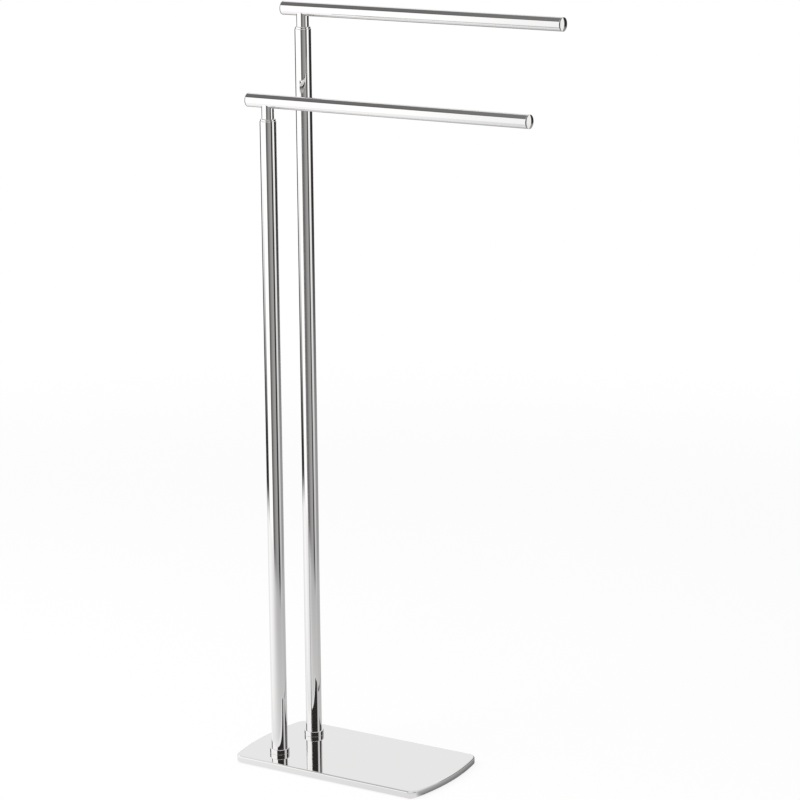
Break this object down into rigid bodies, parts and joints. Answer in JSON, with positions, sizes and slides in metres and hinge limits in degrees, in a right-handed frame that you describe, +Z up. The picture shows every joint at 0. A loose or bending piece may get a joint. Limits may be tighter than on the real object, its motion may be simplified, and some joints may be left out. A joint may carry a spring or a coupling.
{
  "type": "freestanding towel stand",
  "caption": "Freestanding towel stand: posts of unequal height on a flat weighted base, each with a swivelling arm that carries a straight round towel bar.",
  "frame": {"origin": "middle of the base's underside, on the floor", "axes": "+X along the towel bars at rest, towards their free ends; +Y from the short front post to the tall rear post; +Z up"},
  "size_m": [0.4557, 0.17, 1.0387],
  "materials": {
    "plate_chrome": "mirror-polished chrome plate on flat steel",
    "tube_chrome": "mirror-polished chrome plate on drawn tube",
    "turned_chrome": "bright chrome plate on turned brass, with faint tool lines",
    "cap_chrome": "bright chrome plate on a moulded cap",
    "zinc_steel": "zinc-plated steel, satin",
    "sleeve_plastic": "natural acetal, matt",
    "mat_rubber": "black non-slip foam rubber sheet, matt"
  },
  "bodies": {
    "stand": {"base_plate": "plate_chrome", "base_mat": "mat_rubber", "base_screws": "zinc_steel", "base_lock_washers": "zinc_steel", "front_post": "tube_chrome", "front_post_plug": "zinc_steel", "front_collar": "turned_chrome", "front_top_bush": "turned_chrome", "front_sleeve": "sleeve_plastic", "rear_post": "tube_chrome", "rear_post_plug": "zinc_steel", "rear_collar": "turned_chrome", "rear_top_bush": "turned_chrome", "rear_sleeve": "sleeve_plastic"},
    "front_arm": {"front_neck": "turned_chrome", "front_neck_stud": "zinc_steel", "front_disc_spring": "zinc_steel", "front_retaining_washer": "zinc_steel", "front_retaining_screw": "zinc_steel", "front_bar": "tube_chrome", "front_bar_anchor": "zinc_steel", "front_near_cap": "cap_chrome", "front_far_cap": "cap_chrome"},
    "rear_arm": {"rear_neck": "turned_chrome", "rear_neck_stud": "zinc_steel", "rear_disc_spring": "zinc_steel", "rear_retaining_washer": "zinc_steel", "rear_retaining_screw": "zinc_steel", "rear_bar": "tube_chrome", "rear_bar_anchor": "zinc_steel", "rear_near_cap": "cap_chrome", "rear_far_cap": "cap_chrome"}
  },
  "joints": [
    {"name": "front_swivel", "type": "hinge", "parent": "stand", "child": "front_arm", "pos_m": [-0.097, -0.043, 0.893], "axis": [0, 0, 1], "range_deg": [-255, 75]},
    {"name": "rear_swivel", "type": "hinge", "parent": "stand", "child": "rear_arm", "pos_m": [-0.097, 0.043, 1.006], "axis": [0, 0, 1], "continuous": true}
  ]
}
